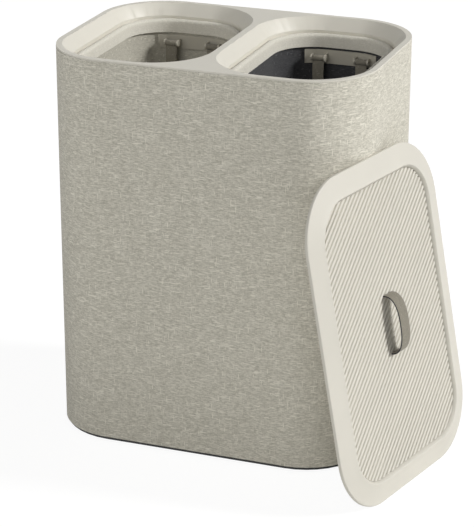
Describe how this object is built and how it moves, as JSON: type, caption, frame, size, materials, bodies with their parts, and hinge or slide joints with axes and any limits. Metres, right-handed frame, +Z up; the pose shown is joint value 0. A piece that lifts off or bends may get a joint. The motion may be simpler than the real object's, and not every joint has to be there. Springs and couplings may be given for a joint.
{
  "type": "laundry hamper",
  "caption": "Free-standing fabric-covered laundry hamper with two open bins, lift-out bags and a loose ribbed lid that leans against its side.",
  "frame": {"origin": "on the floor, at the underside of the centre foot, under the middle of the hamper", "axes": "+Z up, front long face towards -Y, +X to the right, towards the side that the lid leans against"},
  "size_m": [0.6199, 0.5021, 0.614],
  "materials": {
    "foot_rubber": "matt",
    "black_plastic": "matt",
    "wall_board": "matt",
    "stone_linen": "woven",
    "cream_plastic": "satin",
    "light_bag_cloth": "woven",
    "dark_bag_cloth": "woven",
    "hem_binding": "woven",
    "hoop_plastic": "matt",
    "taupe_webbing": "woven"
  },
  "bodies": {
    "hamper": {"foot_centre": "foot_rubber", "foot_front_left": "foot_rubber", "foot_front_right": "foot_rubber", "foot_rear_left": "foot_rubber", "foot_rear_right": "foot_rubber", "base_tray": "black_plastic", "wall_panel": "wall_board", "fabric_cover": "stone_linen", "top_tray": "cream_plastic", "left_funnel": "cream_plastic", "right_funnel": "cream_plastic"},
    "left_bag_body": {"left_bag_front": "light_bag_cloth", "left_bag_rear": "light_bag_cloth", "left_bag_floor": "light_bag_cloth", "left_bag_hem": "hem_binding", "left_bag_hoop": "hoop_plastic", "left_bag_board": "wall_board", "left_front_bracket": "hoop_plastic", "left_rear_bracket": "hoop_plastic"},
    "left_front_loop": {"left_front_handle": "taupe_webbing"},
    "left_rear_loop": {"left_rear_handle": "taupe_webbing"},
    "right_bag_body": {"right_bag_front": "dark_bag_cloth", "right_bag_rear": "dark_bag_cloth", "right_bag_floor": "dark_bag_cloth", "right_bag_hem": "hem_binding", "right_bag_hoop": "hoop_plastic", "right_bag_board": "wall_board", "right_front_bracket": "hoop_plastic", "right_rear_bracket": "hoop_plastic"},
    "right_front_loop": {"right_front_handle": "taupe_webbing"},
    "right_rear_loop": {"right_rear_handle": "taupe_webbing"},
    "lid": {"lid_frame": "cream_plastic", "lid_rib_panel": "cream_plastic", "lid_back_plate": "cream_plastic", "lid_handle_strap": "taupe_webbing", "lid_anchor_upper": "black_plastic", "lid_anchor_lower": "black_plastic"}
  },
  "joints": [
    {"name": "left_bag_lift", "type": "slide", "parent": "hamper", "child": "left_bag_body", "axis": [0, 0, 1], "range_m": [0, 0.6]},
    {"name": "right_bag_lift", "type": "slide", "parent": "hamper", "child": "right_bag_body", "axis": [0, 0, 1], "range_m": [0, 0.6]},
    {"name": "left_front_handle_swing", "type": "hinge", "parent": "left_bag_body", "child": "left_front_loop", "pos_m": [-0.12325, -0.13524, 0.557], "axis": [1, 0, 0], "range_deg": [0, 170]},
    {"name": "left_rear_handle_swing", "type": "hinge", "parent": "left_bag_body", "child": "left_rear_loop", "pos_m": [-0.12325, 0.13524, 0.557], "axis": [-1, 0, 0], "range_deg": [0, 170]},
    {"name": "right_front_handle_swing", "type": "hinge", "parent": "right_bag_body", "child": "right_front_loop", "pos_m": [0.12325, -0.13524, 0.557], "axis": [1, 0, 0], "range_deg": [0, 170]},
    {"name": "right_rear_handle_swing", "type": "hinge", "parent": "right_bag_body", "child": "right_rear_loop", "pos_m": [0.12325, 0.13524, 0.557], "axis": [-1, 0, 0], "range_deg": [0, 170]},
    {"name": "lid_lift_away", "type": "slide", "parent": "hamper", "child": "lid", "axis": [0.9557, -0.2242, 0.1908], "range_m": [0, 0.3]}
  ]
}
